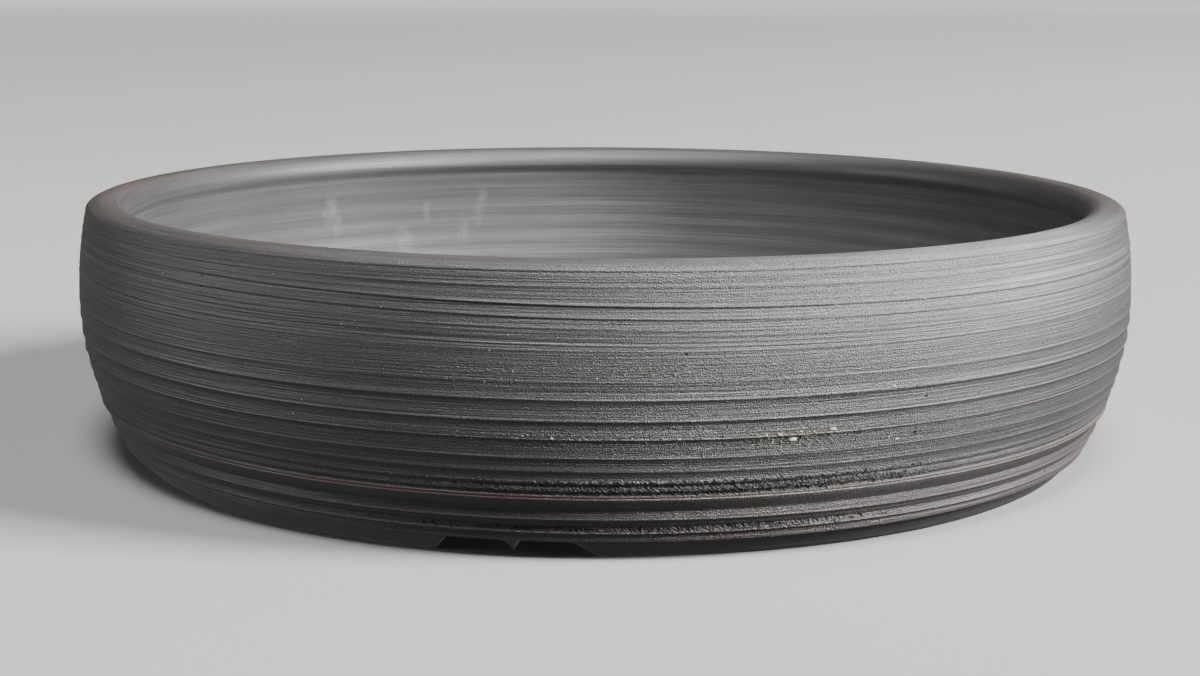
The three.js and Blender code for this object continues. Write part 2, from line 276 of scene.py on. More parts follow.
def spaced(start, end, step):
    """Numbers from start to end, evenly spaced, about a step apart."""
    return np.linspace(start, end, max(2, round(abs(end - start) / step) + 1))


def eased(share):
    """Goes from 0 to 1 with share, gently at both ends."""
    return share * share * (3 - 2 * share)


def hump(value, middle, width):
    """A soft hump: 1 at the middle, and next to nothing two widths away."""
    return np.exp(-(((value - middle) / width) ** 2))


def sway(angle, times, shift=0):
    """A wave that runs a number of times round the pot, shifted by some degrees."""
    return np.sin(np.radians(angle * times + shift))


def arc(radius, height, reach, rise, start, end, steps):
    """Points of an arc in the section's plane. Angles are in degrees from the outward direction."""
    turns = np.radians(np.linspace(start, end, steps + 1))
    return [(radius + reach * math.cos(t), height + rise * math.sin(t)) for t in turns]


def on_circle(angle, distance):
    turn = math.radians(angle)
    return distance * math.cos(turn), distance * math.sin(turn)


def notch_angle(index):
    return FIRST_NOTCH + index * 360 / FOOT_COUNT


def drain_angle(index):
    return notch_angle(index + 0.5)


# Modelling steps that several pieces share


def pick(piece):
    """Selects one piece alone and makes it the active one."""
    bpy.ops.object.select_all(action="DESELECT")
    bpy.context.view_layer.objects.active = piece
    piece.select_set(True)


def edit(piece):
    """Goes into edit mode on one piece alone, with all of it selected."""
    pick(piece)
    bpy.ops.object.mode_set(mode="EDIT")
    bpy.ops.mesh.select_all(action="SELECT")


def leave_edit():
    bpy.ops.object.mode_set(mode="OBJECT")


def draw_line(name, points):
    """A chain of edges through points in millimetres, extruded one point after another."""
    places = [Vector(point) * MM for point in points]
    bpy.ops.mesh.primitive_plane_add(size=MM)
    piece = bpy.context.active_object
    piece.name = name
    edit(piece)
    bpy.ops.mesh.merge(type="CENTER")
    bpy.ops.transform.translate(value=places[0])
    for here, there in zip(places, places[1:]):
        bpy.ops.mesh.extrude_vertices_move(TRANSFORM_OT_translate={"value": there - here})
    leave_edit()
    return piece


def close_skin(piece):
    edit(piece)
    bpy.ops.mesh.remove_doubles(threshold=WELD * MM)
    bpy.ops.mesh.normals_make_consistent(inside=False)
    leave_edit()


def turned(name, section, steps, centre=(0, 0)):
    """A piece turned once round an upright axis from a section of (radius, height) points."""
    piece = draw_line(name, [(radius, 0, height) for radius, height in section])
    finish_modifier(
        piece, "SCREW", steps=steps, render_steps=steps, use_merge_vertices=True,
        merge_threshold=WELD * MM,
    )
    close_skin(piece)
    place_by(piece, Matrix.Translation((centre[0] * MM, centre[1] * MM, 0)))
    return piece


def finish_modifier(piece, kind, **settings):
    """Adds a modifier to a piece and applies it."""
    pick(piece)
    modifier = piece.modifiers.new(kind.title(), kind)
    for name, value in settings.items():
        setattr(modifier, name, value)
    bpy.ops.object.modifier_apply(modifier=modifier.name)


def join(name, parts):
    """Joins parts into one piece, keeping each where it lies."""
    bpy.ops.object.select_all(action="DESELECT")
    for part in parts:
        part.select_set(True)
    bpy.context.view_layer.objects.active = parts[0]
    bpy.ops.object.join()
    piece = bpy.context.active_object
    piece.name = name
    piece.data.name = name
    return piece


def boolean(piece, tool, operation):
    """Cuts a piece with a tool or joins the tool to it, and puts the tool away."""
    finish_modifier(piece, "BOOLEAN", operation=operation, solver="EXACT", object=tool)
    bpy.data.objects.remove(tool)


def place_by(piece, matrix):
    """Puts a piece's place into its mesh, so that its object stays at the origin."""
    piece.data.transform(matrix)
    piece.matrix_world = Matrix.Identity(4)


def copy_of(piece, name):
    copy = piece.copy()
    copy.data = piece.data.copy()
    copy.name = name
    bpy.context.collection.objects.link(copy)
    return copy


def points_of(piece):
    points = np.empty(len(piece.data.vertices) * 3, np.float32)
    piece.data.vertices.foreach_get("co", points)
    return points.reshape(-1, 3).astype(float) / MM


def move_points(piece, points):
    piece.data.vertices.foreach_set("co", (points * MM).astype(np.float32).ravel())
    piece.data.update()


def cylinder_places(points):
    """Radius, angle from the front in degrees, anticlockwise from above, and height of each point."""
    radius = np.hypot(points[:, 0], points[:, 1])
    angle = np.degrees(np.arctan2(points[:, 0], -points[:, 1]))
    return radius, angle, points[:, 2]


def ruffle(piece, strength, size):
    """Displaces a piece's skin by soft noise of the given (x, y, z) grain, all in millimetres."""
    grain = bpy.data.textures.new("clay_grain", "CLOUDS")
    grain.noise_scale = 1
    bpy.ops.object.empty_add()
    ruler = bpy.context.active_object
    ruler.scale = Vector(size) * MM
    bpy.context.view_layer.update()
    finish_modifier(
        piece, "DISPLACE", texture=grain, texture_coords="OBJECT", texture_coords_object=ruler,
        strength=strength * MM,
    )
    bpy.data.objects.remove(ruler)


def show_as(piece, material, slot, *nodes):
    """Gives a finished piece its material, and its place in the frame."""
    piece.data.materials.clear()
    piece.data.materials.append(material)
    pick(piece)
    bpy.ops.object.shade_smooth_by_angle(angle=math.radians(50))
    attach(piece, "root")
    if nodes:
        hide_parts(*nodes)


# Bowl


def throwing_rings(radius):
    """The soft waves that the potter's fingers left in the floor, as a depth below it."""
    return RING_DEPTH * (0.5 + 0.5 * np.cos(2 * math.pi * radius / RING_PITCH)) ** 1.5


def bowl_section():
    """Half section of the bowl: out along the underside, up, over the lip and down inside."""
    fillet_height = FLOOR_TOP + FLOOR_FILLET
    fillet_radius = inner_wall(fillet_height) - FLOOR_FILLET
    section = [(radius, FOOT_HEIGHT) for radius in spaced(0, FOOT_OUTER_RADIUS, UNDERSIDE_ROW)]
    section += [(belly_curve(h), h) for h in spaced(FOOT_HEIGHT, WALL_TOP, WALL_ROW)][1:]
    crown = LIP_OUTER_RADIUS - LIP_SHOULDER_WIDTH
    section += arc(crown, WALL_TOP, LIP_SHOULDER_WIDTH, LIP_SHOULDER_HEIGHT, 0, 90, 28)[1:]
    lip_reach = crown - LIP_INNER_RADIUS
    section += arc(crown, POT_HEIGHT - LIP_DEPTH, lip_reach, LIP_DEPTH, 90, 180, 16)[1:]
    undercut_reach = inner_wall(INNER_TOP) - LIP_INNER_RADIUS
    for share in np.linspace(0, 1, 14)[1:]:
        radius = LIP_INNER_RADIUS + undercut_reach * eased(share)
        section.append((radius, POT_HEIGHT - LIP_DEPTH - LIP_UNDERCUT * share))
    section += [(inner_wall(h), h) for h in spaced(INNER_TOP, fillet_height, INSIDE_ROW)][1:]
    section += arc(fillet_radius, fillet_height, FLOOR_FILLET, FLOOR_FILLET, 0, -90, 12)[1:]
    section += [(radius, FLOOR_TOP) for radius in spaced(fillet_radius, 0, FLOOR_ROW)][1:]
    return section


def wander(height, angle):
    """How far the lines on the shoulder run down or up as they go round, in millimetres."""
    turn = np.radians(angle + 15)
    shoulder = np.interp(height, [50, 54.5, 63.5, 66], [0, 1, 1, 0])
    middle = np.interp(height, [4.5, 18, 42, 50], [0, 0.35, 0.55, 0])
    shoulder = shoulder * (-1.2 * np.sin(turn) - 0.7 * np.sin(2 * turn))
    return shoulder + middle * (-0.6 * np.sin(turn + 0.4) + 0.2 * np.sin(2 * turn))


def short_lines(height, angle):
    """The thin lines that start and stop, those seen in front and others all round."""
    draw = random.Random(12)
    lines = list(SHORT_LINES)
    for _ in range(MORE_SHORT_LINES):
        start = draw.uniform(-180, 180)
        place, depth = draw.uniform(7, 68), draw.uniform(-0.05, 0.035)
        lines.append((place, depth, start, start + draw.uniform(15, 110)))
    total = np.zeros_like(height)
    for place, depth, start, end in lines:
        middle, half = (start + end) / 2, (end - start) / 2
        away = np.abs((angle - middle + 180) % 360 - 180)
        lasting = np.clip((half - away) / LINE_FADES_OVER, 0, 1)
        total += depth * lasting * hump(height, place, SHORT_LINE_WIDTH)
    return total


def sharp_edges(height):
    """The thin raised edge of each sharp ridge, and the step in the clay just under it."""
    total = np.zeros_like(height)
    for place, depth in SHARP_EDGES:
        edge = hump(height, place + EDGE_WIDTH * 0.6, EDGE_WIDTH)
        step = hump(height, place - EDGE_WIDTH, EDGE_WIDTH)
        total += depth * (1.2 * edge - 0.3 * step)
    return total


def proud_clay(height, angle):
    """How far the trimmed clay stands out from the smooth wall at a place. It stands out less at
    the left, where the tool pressed lightly."""
    heights, prouds = np.array(TURNED_WALL).T
    ease = 1 + 0.25 * sway(angle, 2, height * 23) * sway(angle, 3, -height * 31)
    ease *= 1 - 0.55 * hump(angle, UPPER_LIGHT_ANGLE, 26) * np.clip((height - 55) / 4, 0, 1)
    ease *= 1 - 0.3 * hump(angle, LOWER_LIGHT_ANGLE, 35) * np.clip((height - 20) / 4, 0, 1)
    return (np.interp(height, heights, prouds) + sharp_edges(height) + short_lines(height, angle)) * ease


def crest_highlight_share(height, angle):
    """How much a place lies on a ridge's sharp crest, and so how much painted highlight it gets."""
    total = np.zeros_like(height)
    for number, (place, depth) in enumerate(SHARP_EDGES):
        lasting = 0.65 + 0.35 * sway(angle, 2, number * 77) * sway(angle, 3, number * 41 + 90)
        total += depth / FULL_EDGE * lasting * hump(height, place + EDGE_WIDTH * 0.3, EDGE_WIDTH)
    return total


def sandy_share(height, angle):
    """How much coarse grit shows at a place of the wall: most in front, where the tool scraped."""
    bands = sum(high * hump(height, middle, width) for middle, width, high in SANDY_BANDS)
    in_front = 0.26 + 0.66 * hump(angle, SANDY_ANGLE, 22)
    return in_front * (0.9 + 0.14 * sway(angle, 5, height * 4) + bands)


def trimmed_wall(height, angle):
    """Radius and height that a point of the smooth wall has once the wall is trimmed."""
    risen = height + wander(height, angle)
    return belly_curve(risen) + proud_clay(height, angle), risen


def move_out(points, chosen, radius, new_radius):
    scale = np.where(chosen, new_radius / np.maximum(radius, 1), 1)
    points[:, 0] *= scale
    points[:, 1] *= scale


def trim_wall(bowl):
    """Cuts the trimming tool's ridges and lines into the wall, and the fingers' waves inside."""
    points = points_of(bowl)
    radius, angle, height = cylinder_places(points)
    on_wall = np.abs(radius - belly_curve(height)) < NEAR
    wall = on_wall & (height >= FOOT_HEIGHT - 0.01) & (height <= WALL_TOP)
    new_radius, risen = trimmed_wall(height, angle)
    move_out(points, wall, radius, new_radius)
    points[wall, 2] = risen[wall]
    shoulder = (height > WALL_TOP) & (radius > LIP_OUTER_RADIUS - LIP_SHOULDER_WIDTH)
    fading = np.clip((POT_HEIGHT - 0.3 - height) / LIP_SHOULDER_HEIGHT, 0, 1)
    move_out(points, shoulder, radius, radius + proud_clay(height, angle) * fading)
    inner = inner_wall(height)
    waved = np.abs(radius - inner) < NEAR
    waved &= (height > FLOOR_TOP + FLOOR_FILLET - 0.01) & (height < INNER_TOP)
    heights, waves = np.array(FINGER_WAVES).T
    climbed = height + 0.9 * sway(angle, 1, 40)
    move_out(points, waved, radius, inner - np.interp(climbed, heights, waves))
    floor = (np.abs(height - FLOOR_TOP) < NEAR) & (radius < LIP_INNER_RADIUS - FLOOR_FILLET)
    points[floor, 2] -= throwing_rings(radius[floor])
    move_points(bowl, points)
    tint_bowl(bowl, radius, angle, height)


def torn_share(height, angle):
    """How torn the clay is at a place of the wall, from 0 to 1: most in front."""
    lasting = 0.55 + 0.45 * sway(angle, 2, 50) * sway(angle, 5, 70)
    lasting *= 0.08 + 0.92 * hump(angle, TORN_ANGLE, 38)
    return sum(hump(height, middle, width) for middle, width, _ in TORN_BANDS) * lasting


def tint_bowl(bowl, radius, angle, height):
    """Keeps, for the clay's material, where the bowl is torn, sandy, flashed by the fire, thrown smooth
    inside, filmed with lime and rubbed at the lip, and where a painted highlight lies on its crests and
    near lip. The pale film also carries painted light on the far inside wall and lip, and a painted
    highlight on the upper wall."""
    skin = belly_curve(np.minimum(height, WALL_TOP))
    outside = radius > skin - WALL_THICKNESS * 0.2
    inside = (radius < skin - WALL_THICKNESS * 0.5) & (height > FLOOR_TOP - 1)
    inside &= height < POT_HEIGHT - LIP_DEPTH
    rim = np.clip((height - WALL_TOP) / LIP_SHOULDER_HEIGHT, 0, 1)
    gritty = outside | ((height > WALL_TOP) & (radius > LIP_INNER_RADIUS + 1))
    rubbed = np.clip((LIP_OUTER_RADIUS - 8 - radius) / 2, 0, 1) * (height > INNER_TOP) * ~inside
    burning = 0.45 + 0.3 * sway(angle, 2, 70) * sway(angle, 3, height * 9) + 0.2 * hump(angle, -38, 24)
    flashed = sum(hump(height, edge, FLASH_WIDTH) for edge in FLASHED_EDGES) * burning
    blushed = rim * 0.16 * hump(np.abs(angle), 90, 28)
    from_film_and_light = (angle - FILM_AND_LIGHT_ANGLE + 180) % 360 - 180
    # Pale lime film inside, most at the back, and on the rubbed lip at the back: partly painted light on
    # the far inside wall and lip
    film_and_painted_light = inside * (0.06 + 0.85 * hump(from_film_and_light, 0, 22)) + rubbed * 0.72 * hump(from_film_and_light, 13, 33)
    # A painted highlight on the upper wall at the right, laid on with the film's pale tone
    painted_highlight = 0.95 * hump(angle, HIGHLIGHT_ANGLE, 25) * np.clip((height - 38) / 24, 0, 1)
    streaked = hump(angle, STREAK_ANGLE, 1.3) * hump(height, STREAK_HEIGHT, 5)
    shares = {
        "torn": torn_share(height, angle) * outside,
        # Painted highlight on the ridges' crests, and on the near lip at the right
        "crest_highlight": crest_highlight_share(height, angle) * outside + rim * 0.5 * hump(angle, 38, 38),
        "sandy": sandy_share(height, angle) * gritty + 0.12,
        "flashed": flashed * outside + blushed,
        "streaked": streaked * outside,
        "inside": inside,
        "film_and_painted_light": np.maximum(film_and_painted_light, painted_highlight * gritty),
        "rubbed": rubbed,
    }
    for name, values in shares.items():
        attribute = bowl.data.attributes.new(name, "FLOAT", "POINT")
        attribute.data.foreach_set("value", np.clip(values, 0, 1).astype(np.float32))


def flared_drill(name, radius, angle, distance, steps):
    """A cutter for a hole in the floor, wider at both faces, as a wet sponge leaves it."""
    low, high = FOOT_HEIGHT, FLOOR_TOP
    wide, partly = radius + HOLE_FLARE, radius + HOLE_FLARE * 0.3
    section = [
        (0, low - 3), (wide, low - 3), (wide, low - 0.1), (partly, low + HOLE_FLARE * 0.5),
        (radius, low + HOLE_FLARE * 1.5), (radius, high - HOLE_FLARE * 1.5),
        (partly, high - HOLE_FLARE * 0.5), (wide, high + 0.1), (wide, high + 3), (0, high + 3),
    ]
    return turned(name, section, steps, on_circle(angle, distance))


def foot_ring_section(top):
    ground = FOOT_OUTER_RADIUS - FOOT_GROUND_INSET
    inner = FOOT_OUTER_RADIUS - FOOT_WIDTH
    edge = FOOT_EDGE_ROUND
    section = [(inner, top), (inner, FOOT_HEIGHT)]
    section += arc(inner + edge, edge, edge, edge, 180, 270, 6)
    section += arc(ground - edge, edge, edge, edge, -90, -15, 6)
    section += [(FOOT_OUTER_RADIUS, FOOT_HEIGHT)]
    if top > FOOT_HEIGHT:
        section += [(FOOT_OUTER_RADIUS, top)]
    return section + [(inner, top)]


def through_ring(name, outline, angle):
    """A cutter whose outline, drawn across and up as seen from outside, runs in through the ring."""
    reach = FOOT_WIDTH * 3
    front = FOOT_OUTER_RADIUS + reach / 2
    cutter = draw_line(name, [(across, -front, up) for across, up in outline])
    edit(cutter)
    bpy.ops.mesh.remove_doubles(threshold=WELD * MM)
    bpy.ops.mesh.select_all(action="SELECT")
    bpy.ops.mesh.edge_face_add()
    bpy.ops.mesh.extrude_region_move(TRANSFORM_OT_translate={"value": (0, reach * MM, 0)})
    bpy.ops.mesh.select_all(action="SELECT")
    bpy.ops.mesh.normals_make_consistent(inside=False)
    leave_edit()
    place_by(cutter, Matrix.Rotation(math.radians(angle + 90), 4, "Z"))
    return cutter


def bezier(start, first, second, end, steps):
    """Points of a cubic curve, without its first."""
    share = np.linspace(0, 1, steps + 1)[1:, None]
    rest = 1 - share
    weights = np.hstack([rest ** 3, 3 * rest ** 2 * share, 3 * rest * share ** 2, share ** 3])
    return [tuple(point) for point in weights @ np.array([start, first, second, end])]


def notch_side(reach, slope):
    """One side of a notch, down from its top to the ground, as (across, up)."""
    top = (reach - slope, FOOT_HEIGHT)
    bends = (reach - slope * 0.4, FOOT_HEIGHT), (reach - slope * 0.35, FOOT_HEIGHT * 0.1)
    side = [(top[0], FOOT_HEIGHT * 2), top]
    return side + bezier(top, *bends, (reach, 0), 12) + [(reach, -FOOT_HEIGHT)]


def notch_outline():
    left = [(-across, up) for across, up in reversed(notch_side(NOTCH_LEFT, LEFT_SLOPE))]
    return left + notch_side(NOTCH_RIGHT, RIGHT_SLOPE) + left[:1]


def cusp_outline(top):
    tip = (CUSP_OFFSET, FOOT_HEIGHT - CUSP_DROP)
    left = CUSP_OFFSET - CUSP_LEFT_LENGTH
    right = CUSP_OFFSET + CUSP_RIGHT_LENGTH
    outline = [(left, top), (left, FOOT_HEIGHT)]
    bend = (CUSP_OFFSET - CUSP_LEFT_LENGTH * 0.2, FOOT_HEIGHT)
    outline += bezier((left, FOOT_HEIGHT), bend, bend, tip, 8)
    bend = (CUSP_OFFSET + CUSP_RIGHT_LENGTH * 0.2, FOOT_HEIGHT)
    outline += bezier(tip, bend, bend, (right, FOOT_HEIGHT), 8)
    return outline + [(right, top), (left, top)]


def at_notches(name, outline):
    """The same cutter at each of the notches, joined in one."""
    cutters = [through_ring(name, outline, notch_angle(index)) for index in range(FOOT_COUNT)]
    return join(name + "s", cutters)


def make_bowl():
    bowl = turned("bowl", bowl_section(), AROUND)
    drills = []
    for index in range(FOOT_COUNT):
        drills.append(flared_drill("drain_drill", DRAIN_RADIUS, drain_angle(index), DRAIN_CIRCLE, 64))
        drills.append(flared_drill("tie_drill", TIE_HOLE_RADIUS, notch_angle(index), TIE_CIRCLE, 24))
    boolean(bowl, join("drills", drills), "DIFFERENCE")
    root = FOOT_HEIGHT + CUSP_ROOT
    cusps = turned("cusps", foot_ring_section(root), AROUND)
    boolean(cusps, at_notches("cusp_cutter", cusp_outline(root)), "INTERSECT")
    boolean(bowl, cusps, "UNION")
    trim_wall(bowl)
    return bowl


def soften_foot(foot):
    """Rounds a foot's cut edges as a damp sponge does, and keeps its two flat faces flat."""
    finish_modifier(foot, "REMESH", voxel_size=FOOT_VOXEL * MM)
    finish_modifier(foot, "SMOOTH", iterations=5)
    ruffle(foot, 0.25, (9, 9, 5))
    points = points_of(foot)
    stretched = (points[:, 2] - FACE_WORN) / (FOOT_HEIGHT - 2 * FACE_WORN) * FOOT_HEIGHT
    points[:, 2] = np.clip(stretched, 0, FOOT_HEIGHT)
    move_points(foot, points)


def make_feet():
    """The luted feet, each under the name of the node that it stands for."""
    ring = turned("foot_ring", foot_ring_section(FOOT_HEIGHT), AROUND)
    boolean(ring, at_notches("notch_cutter", notch_outline()), "DIFFERENCE")
    edit(ring)
    bpy.ops.mesh.separate(type="LOOSE")
    leave_edit()
    feet = {}
    for foot in [piece for piece in bpy.context.selected_objects if piece.type == "MESH"]:
        soften_foot(foot)
        middle = points_of(foot).mean(axis=0)
        angle = math.degrees(math.atan2(middle[1], middle[0]))
        index = round((angle - drain_angle(0)) % 360 / (360 / FOOT_COUNT)) % FOOT_COUNT
        node = ("foot_right", "foot_back", "foot_left")[index]
        foot.name = "luted_" + node
        feet[node] = foot
    return feet


# Screens and clips


def make_screen(name):
    """A square of plastic net: round strands that the extruder fused where they cross."""
    side = SCREEN_GAPS * SCREEN_PITCH + SCREEN_BAR
    depth = (SCREEN_TOP - SCREEN_BOTTOM) * STRAND_DEPTH
    flatten = Matrix.Diagonal((1, 1, depth / SCREEN_BAR, 1))
    strands = []
    for layer, height in enumerate((SCREEN_BOTTOM + depth / 2, SCREEN_TOP - depth / 2)):
        for index in range(SCREEN_GAPS + 1):
            across = (index - SCREEN_GAPS / 2) * SCREEN_PITCH
            bpy.ops.mesh.primitive_cylinder_add(vertices=16, radius=SCREEN_BAR / 2 * MM, depth=side * MM)
            strand = bpy.context.active_object
            lie = flatten @ Matrix.Rotation(math.radians(90), 4, "Y")
            turn = Matrix.Rotation(math.radians(90 * layer), 4, "Z")
            place_by(strand, turn @ Matrix.Translation((0, across * MM, height * MM)) @ lie)
            strands.append(strand)
    screen = join(name, strands)
    finish_modifier(screen, "REMESH", voxel_size=NET_VOXEL * MM)
    finish_modifier(screen, "SMOOTH", iterations=3)
    return screen


def half_clip_path():
    """Half of a clip: from the middle of its bridge round a loop, down a leg and out to its end."""
    wire_height = SCREEN_TOP + WIRE_CLEARANCE + WIRE_RADIUS
    foot_plane = FOOT_HEIGHT - WIRE_CLEARANCE - WIRE_RADIUS
    leg = CLIP_LEG_GAPS * SCREEN_PITCH
    loop = leg - WIRE_BEND
    loop_rise = 2 * WIRE_RADIUS + WIRE_CLEARANCE
    path = [(across, 0, wire_height + loop_rise) for across in np.linspace(0, loop, 5)]
    for share in np.linspace(0, 1, 41)[1:]:
        turn = 2 * math.pi * share
        height = wire_height + loop_rise * (1 - eased(share))
        path.append((loop + CLIP_LOOP * math.sin(turn), CLIP_LOOP * (1 - math.cos(turn)), height))
    bend = WIRE_BEND
    bends = arc(loop, wire_height - bend, bend, bend, 90, 0, 8)[1:]
    bends += arc(leg + bend, foot_plane + bend, bend, bend, 180, 270, 8)[1:]
    path += [(x, 0, z) for x, z in bends]
    path.append((leg + WIRE_BEND + CLIP_FOOT, 0, foot_plane))
    return path


def make_clip(name):
    """One length of round wire, bent by hand with pliers and nipped off square at both ends."""
    half = half_clip_path()
    other = [(-x, -y, z) for x, y, z in reversed(half[1:])]
    clip = draw_line(name, other + half)
    bpy.ops.object.convert(target="CURVE")
    clip = bpy.context.active_object
    clip.data.bevel_depth = WIRE_RADIUS * MM
    clip.data.bevel_resolution = 4
    clip.data.use_fill_caps = True
    bpy.ops.object.convert(target="MESH")
    clip = bpy.context.active_object
    close_skin(clip)
    return clip


def fit_at_drains(piece, name, turned_by):
    """Three copies of a piece, each at its own drain and turned with it."""
    copies = []
    for index in range(FOOT_COUNT):
        copy = copy_of(piece, "%s_%d" % (name, index + 1))
        x, y = on_circle(drain_angle(index), DRAIN_CIRCLE)
        turn = Matrix.Rotation(math.radians(drain_angle(index) + turned_by), 4, "Z")
        place_by(copy, Matrix.Translation((x * MM, y * MM, 0)) @ turn)
        copies.append(copy)
    bpy.data.objects.remove(piece)
    return copies


# Grains and burrs that stand on the trimmed wall. They are laid out on the wall unrolled flat, with
# X the way round from the front, Z the height, and -Y out of the clay, and then rolled up.


def clay_bit(name, size, rough, seed):
    """One small grain of the given (across, out, up) size, with broken faces."""
    bpy.ops.mesh.primitive_ico_sphere_add(subdivisions=1, radius=0.5 * MM)
    bit = bpy.context.active_object
    bit.name = name
    edit(bit)
    bpy.ops.transform.vertex_random(offset=rough * MM, uniform=1, normal=0, seed=seed)
    leave_edit()
    place_by(bit, Matrix.Diagonal((*size, 1)))
    return bit


def scattered(name, kinds, places):
    """Copies of small bits joined in one piece and seated on the wall. A place is
    (around, out, height, size, turn)."""
    bits = []
    for number, (around, out, height, size, turn) in enumerate(places):
        bit = copy_of(kinds[number % len(kinds)], name)
        place = Matrix.Translation((around * MM, -out * MM, height * MM))
        place_by(bit, place @ Matrix.Rotation(math.radians(turn), 4, "Y") @ Matrix.Scale(size, 4))
        bits.append(bit)
    for kind in kinds:
        bpy.data.objects.remove(kind)
    piece = join(name, bits)
    roll_up(piece)
    return piece


def roll_up(piece):
    """Rolls a piece laid out flat round the pot, and seats it on the trimmed wall."""
    points = points_of(piece)
    angle = np.degrees(points[:, 0] / BELLY_RADIUS)
    radius, risen = trimmed_wall(points[:, 2], angle)
    radius -= points[:, 1]
    turn = np.radians(angle)
    move_points(piece, np.stack([radius * np.sin(turn), -radius * np.cos(turn), risen], axis=1))


def around_at(angle):
    return math.radians(angle) * BELLY_RADIUS


def strewn(draw, count, low, high):
    """Places drawn one by one all round the wall between two heights, each as (around, height)."""
    for _ in range(count):
        yield around_at(draw.uniform(-180, 180)), draw.uniform(low, high)


def clustered(draw, clusters, smallest, largest):
    """Places drawn in clusters on the wall, each as (around, height, size)."""
    places = []
    for angle, height, wide, high, count in clusters:
        for _ in range(count):
            around = around_at(angle) + draw.gauss(0, wide / 2)
            places.append((around, height + draw.gauss(0, high / 2), draw.uniform(smallest, largest)))
    return places


def make_grog():
    """Coarse grains of ground fired clay that the tool dragged clear of the wall."""
    draw = random.Random(5)
    places = []
    for around, height in strewn(draw, GROG_COUNT, WALL_LOW, WALL_HIGH):
        places.append((around, 0, height, draw.uniform(0.5, 1.1)))
    for around, height, size in clustered(draw, GROG_CLUSTERS, 0.5, 1.3):
        places.append((around, 0.02, min(max(height, WALL_LOW), WALL_HIGH), size))
    kinds = [clay_bit("grain", (0.42, 0.3, 0.3), 0.12, seed) for seed in range(4)]
    return scattered("grog_grains", kinds, [(*place, draw.uniform(0, 360)) for place in places])


def make_burrs():
    """Slanting curls of clay that the tool tore up in the torn bands of the wall."""
    draw = random.Random(8)
    chances = [chance for _, _, chance in TORN_BANDS]
    places = []
    while len(places) < BURR_COUNT:
        middle, width, _ = draw.choices(TORN_BANDS, weights=chances)[0]
        angle = draw.uniform(-180, 180)
        height = middle + draw.uniform(-1, 1) * width
        if max(draw.random(), BURRS_FROM) < torn_share(height, angle):
            places.append((around_at(angle), 0.02, height, draw.uniform(0.55, 1.15), draw.gauss(38, 12)))
    kinds = [clay_bit("curl", (1.0, 0.36, 0.27), 0.1, seed) for seed in range(4)]
    return scattered("trimming_burrs", kinds, places)


def make_pale_grains():
    """White and straw-coloured grains of grog laid bare by the tool."""
    draw = random.Random(3)
    places = [(around_at(angle), 0.05, height, size, turn) for angle, height, size, turn in PALE_GRAINS]
    for around, height in strewn(draw, PALE_COUNT, SPECK_LOW, SPECK_HIGH):
        places.append((around, 0, height, draw.uniform(0.2, 0.42), 0))
    for around, height, size in clustered(draw, PALE_CLUSTERS, 0.14, 0.38):
        places.append((around, 0, height, size, 0))
    kinds = [clay_bit("grain", (1.3, 0.5, 0.7), 0.16, seed) for seed in range(5)]
    return scattered("pale_grog_grains", kinds, places)


def make_iron_specks():
    """Small beads of iron that melted out of the clay, nearly black."""
    draw = random.Random(2)
    places = [(around_at(angle), 0.02, height, size, 0) for angle, height, size in IRON_SPECKS]
    for around, height in strewn(draw, SPECK_COUNT, SPECK_LOW, SPECK_HIGH):
        places.append((around, 0, height, draw.uniform(0.25, 0.6), draw.uniform(0, 90)))
    kinds = [clay_bit("bead", (0.8, 0.4, 0.6), 0.1, seed) for seed in range(3)]
    return scattered("iron_specks", kinds, places)


# Materials

# Tones that lie on the clay
# The film's tone is also laid on as painted light inside and as a painted highlight outside
FILM_AND_HIGHLIGHT_TONE = "#838787"
FLASH_TONE = "#74524B"
LIME_TONE = "#A9ADA2"
GROG_TONE = "#7E7D69"

# Sizes in millimetres. Grog under 0.2 mm is too fine to show, so its grain is drawn coarser.
GRIT_SIZE = (0.3, 0.3, 0.3)
LINE_SIZE = (40, 40, 0.4)
BROAD_LINE_SIZE = (70, 70, 2.6)
CLOUD_SIZE = (45, 45, 30)
TEAR_SIZE = (0.36, 0.36, 1.5)

# How much a tear runs on round the pot for each metre that it rises, in radians: half a right angle
TEAR_SLANT = 7


def linear(hex_colour):
    """An sRGB hex colour as the linear colour that a shader takes."""
    channels = [int(hex_colour[i:i + 2], 16) / 255 for i in (1, 3, 5)]
    return (*[c / 12.92 if c <= 0.04045 else ((c + 0.055) / 1.055) ** 2.4 for c in channels], 1)


def set_inputs(tree, node, inputs):
    """Gives each input of a node its value, or links it to the output that it is to take."""
    for socket, value in inputs.items():
        if isinstance(value, bpy.types.NodeSocket):
            tree.links.new(value, node.inputs[socket])
        else:
            node.inputs[socket].default_value = value


def add_node(tree, kind, inputs=None, out=0, **settings):
    """Adds a shader node with its settings, values and links, and gives one of its outputs back."""
    made = tree.nodes.new("ShaderNode" + kind)
    for name, value in settings.items():
        setattr(made, name, value)
    set_inputs(tree, made, inputs or {})
    return made.outputs[out]


def new_material(name):
    """A material, its node tree, its shader, and the place on the piece in metres."""
    material = bpy.data.materials.new(name)
    material.use_nodes = True
    tree = material.node_tree
    shader = tree.nodes["Principled BSDF"]
    return material, tree, shader, add_node(tree, "TexCoord", out="Object")


def grain_pattern(tree, place, size, low=0.0, high=1.0, detail=2.0):
    """A soft random pattern whose grains have the given (x, y, z) size in millimetres."""
    grains = add_node(tree, "Mapping", {"Vector": place, "Scale": [1 / (length * MM) for length in size]})
    cloud = add_node(tree, "TexNoise", {"Vector": grains, "Scale": 1, "Detail": detail})
    spread = {"From Min": 0.28, "From Max": 0.72, "To Min": low, "To Max": high}
    return add_node(tree, "MapRange", {"Value": cloud, **spread})


